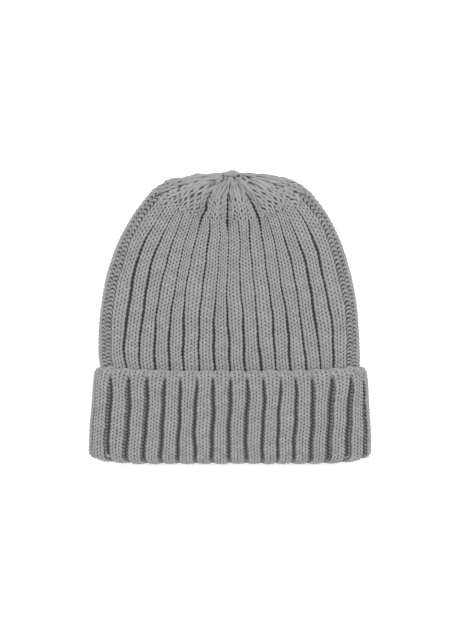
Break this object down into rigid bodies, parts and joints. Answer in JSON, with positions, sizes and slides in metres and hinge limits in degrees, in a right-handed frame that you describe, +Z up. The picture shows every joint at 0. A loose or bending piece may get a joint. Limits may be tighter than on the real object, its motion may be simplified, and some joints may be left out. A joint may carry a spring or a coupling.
{
  "type": "cuffed beanie",
  "caption": "Rib-knit beanie lying flat, hollow and open at the mouth, gathered at the top, with one deep turned-up cuff.",
  "frame": {"origin": "on the table, under the middle of the flat hat's outline", "axes": "+Y from the mouth to the gathered top, +Z up off the table, +X to the right as the hat is seen from above with its top away from the viewer"},
  "size_m": [0.2136, 0.2208, 0.03],
  "materials": {
    "crown_knit": "matt grey wool-blend rib knit",
    "cuff_knit": "matt grey wool-blend rib knit"
  },
  "bodies": {
    "root": {"crown": "crown_knit", "cuff": "cuff_knit"}
  },
  "joints": []
}
